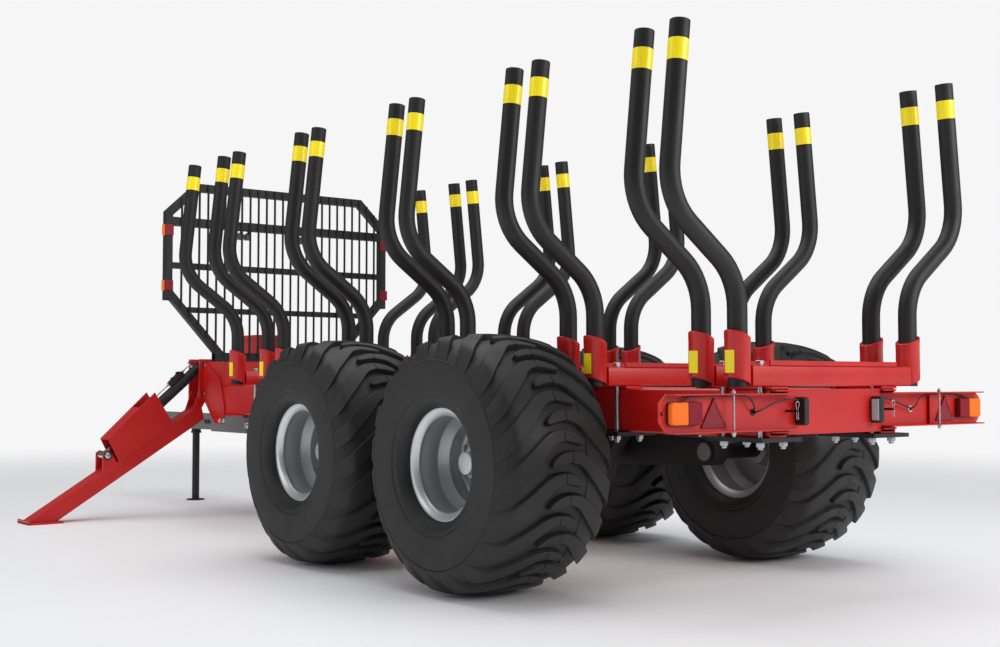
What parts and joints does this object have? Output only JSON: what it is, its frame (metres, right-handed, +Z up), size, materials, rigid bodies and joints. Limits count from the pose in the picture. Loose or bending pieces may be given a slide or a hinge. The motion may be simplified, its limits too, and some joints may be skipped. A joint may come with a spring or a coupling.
{
  "type": "forestry trailer",
  "caption": "Twin-beam timber trailer on tandem bogies, with bunks and bent stakes, a headboard, fold-down stabiliser legs, a steered drawbar and a parking jack.",
  "frame": {"origin": "on the floor, below the middle of the trailer's length and width", "axes": "+X to the trailer's right, +Y forward to the drawbar's eye, +Z up"},
  "size_m": [3.622, 7.8124, 2.5487],
  "materials": {
    "red_paint": "semi-gloss enamel",
    "black_paint": "satin powder coat",
    "grey_paint": "satin enamel",
    "rim_paint": "silver wheel enamel",
    "tyre_rubber": "moulded rubber",
    "buffer_rubber": "moulded rubber",
    "lamp_lens": "moulded lens",
    "reflector_lens": "moulded prism lens",
    "rod_chrome": "hard chrome"
  },
  "bodies": {
    "root": {"main_frame": "red_paint", "rear_cross_member": "red_paint", "light_channel_left": "red_paint", "light_channel_right": "red_paint", "tail_lamps": "lamp_lens", "rear_reflectors": "reflector_lens", "plate_lamps": "black_paint", "bunk_1": "red_paint", "bunk_2": "red_paint", "bunk_3": "red_paint", "bunk_4": "red_paint", "bunk_5": "red_paint", "bunk_6": "red_paint", "stakes_1": "black_paint", "stakes_2": "black_paint", "stakes_3": "black_paint", "stakes_4": "black_paint", "stakes_5": "black_paint", "stakes_6": "black_paint", "clamp_plates": "black_paint", "bogie_pivot": "black_paint", "walking_beam_left": "black_paint", "walking_beam_right": "black_paint", "front_beam": "red_paint", "crane_seat": "red_paint", "headboard": "black_paint", "headboard_rods": "black_paint", "headboard_lamps": "lamp_lens"},
    "wheel_front_left": {"tyre_front_left": "tyre_rubber", "rim_front_left": "rim_paint"},
    "wheel_front_right": {"tyre_front_right": "tyre_rubber", "rim_front_right": "rim_paint"},
    "wheel_rear_left": {"tyre_rear_left": "tyre_rubber", "rim_rear_left": "rim_paint"},
    "wheel_rear_right": {"tyre_rear_right": "tyre_rubber", "rim_rear_right": "rim_paint"},
    "leg_left": {"leg_left": "red_paint", "leg_guard_left": "red_paint"},
    "ram_barrel_left": {"ram_barrel_left": "black_paint"},
    "ram_rod_left": {"ram_rod_left": "rod_chrome"},
    "leg_right": {"leg_right": "red_paint", "leg_guard_right": "red_paint"},
    "ram_barrel_right": {"ram_barrel_right": "black_paint"},
    "ram_rod_right": {"ram_rod_right": "rod_chrome"},
    "drawbar": {"drawbar_sleeve": "grey_paint", "drawbar": "grey_paint", "jack_sleeve": "black_paint"},
    "jack": {"jack_leg": "black_paint"},
    "steer_barrel_left": {"steer_barrel_left": "black_paint"},
    "steer_rod_left": {"steer_rod_left": "rod_chrome"},
    "steer_barrel_right": {"steer_barrel_right": "black_paint"},
    "steer_rod_right": {"steer_rod_right": "rod_chrome"}
  },
  "joints": [
    {"name": "wheel_front_left_spin", "type": "hinge", "parent": "root", "child": "wheel_front_left", "pos_m": [-1.029, -1.17025, 0.6285], "axis": [1, 0, 0], "continuous": true},
    {"name": "wheel_front_right_spin", "type": "hinge", "parent": "root", "child": "wheel_front_right", "pos_m": [1.029, -1.17025, 0.6285], "axis": [1, 0, 0], "continuous": true},
    {"name": "wheel_rear_left_spin", "type": "hinge", "parent": "root", "child": "wheel_rear_left", "pos_m": [-1.029, -2.54325, 0.6285], "axis": [1, 0, 0], "continuous": true},
    {"name": "wheel_rear_right_spin", "type": "hinge", "parent": "root", "child": "wheel_rear_right", "pos_m": [1.029, -2.54325, 0.6285], "axis": [1, 0, 0], "continuous": true},
    {"name": "leg_left_fold", "type": "hinge", "parent": "root", "child": "leg_left", "pos_m": [-0.45, 1.88875, 0.928], "axis": [0, 1, 0], "range_deg": [0, 90]},
    {"name": "ram_barrel_left_swing", "type": "hinge", "parent": "root", "child": "ram_barrel_left", "pos_m": [-0.45, 1.88875, 1.1475], "axis": [0, 1, 0], "range_deg": [0, 90]},
    {"name": "ram_rod_left_slide", "type": "slide", "parent": "ram_barrel_left", "child": "ram_rod_left", "axis": [-0.7522, 0, -0.659], "range_m": [-0.32, 0]},
    {"name": "leg_right_fold", "type": "hinge", "parent": "root", "child": "leg_right", "pos_m": [0.45, 1.88875, 0.928], "axis": [0, -1, 0], "range_deg": [0, 90]},
    {"name": "ram_barrel_right_swing", "type": "hinge", "parent": "root", "child": "ram_barrel_right", "pos_m": [0.45, 1.88875, 1.1475], "axis": [0, -1, 0], "range_deg": [0, 90]},
    {"name": "ram_rod_right_slide", "type": "slide", "parent": "ram_barrel_right", "child": "ram_rod_right", "axis": [0.7522, 0, -0.659], "range_m": [-0.32, 0]},
    {"name": "drawbar_steer", "type": "hinge", "parent": "root", "child": "drawbar", "pos_m": [0, 1.28875, 0.683], "axis": [0, 0, 1], "range_deg": [-22, 22]},
    {"name": "jack_slide", "type": "slide", "parent": "drawbar", "child": "jack", "axis": [0, 0, 1], "range_m": [0, 0.4]},
    {"name": "steer_barrel_left_swing", "type": "hinge", "parent": "root", "child": "steer_barrel_left", "pos_m": [-0.42, 0.63875, 0.683], "axis": [0, 0, 1], "range_deg": [-4, 4]},
    {"name": "steer_rod_left_slide", "type": "slide", "parent": "steer_barrel_left", "child": "steer_rod_left", "axis": [0.2072, 0.9783, 0], "range_m": [-0.11, 0.11]},
    {"name": "steer_barrel_right_swing", "type": "hinge", "parent": "root", "child": "steer_barrel_right", "pos_m": [0.42, 0.63875, 0.683], "axis": [0, 0, 1], "range_deg": [-4, 4]},
    {"name": "steer_rod_right_slide", "type": "slide", "parent": "steer_barrel_right", "child": "steer_rod_right", "axis": [-0.2072, 0.9783, 0], "range_m": [-0.11, 0.11]}
  ],
  "couplings": [
    {"joint": "ram_barrel_left_swing", "follows": "leg_left_fold", "ratio": 0.985},
    {"joint": "ram_rod_left_slide", "follows": "leg_left_fold", "m_per_rad": -0.20025},
    {"joint": "ram_barrel_right_swing", "follows": "leg_right_fold", "ratio": 0.985},
    {"joint": "ram_rod_right_slide", "follows": "leg_right_fold", "m_per_rad": -0.20025},
    {"joint": "steer_barrel_left_swing", "follows": "drawbar_steer", "ratio": 0.161},
    {"joint": "steer_rod_left_slide", "follows": "drawbar_steer", "m_per_rad": -0.2724},
    {"joint": "steer_barrel_right_swing", "follows": "drawbar_steer", "ratio": 0.161},
    {"joint": "steer_rod_right_slide", "follows": "drawbar_steer", "m_per_rad": 0.2724}
  ]
}
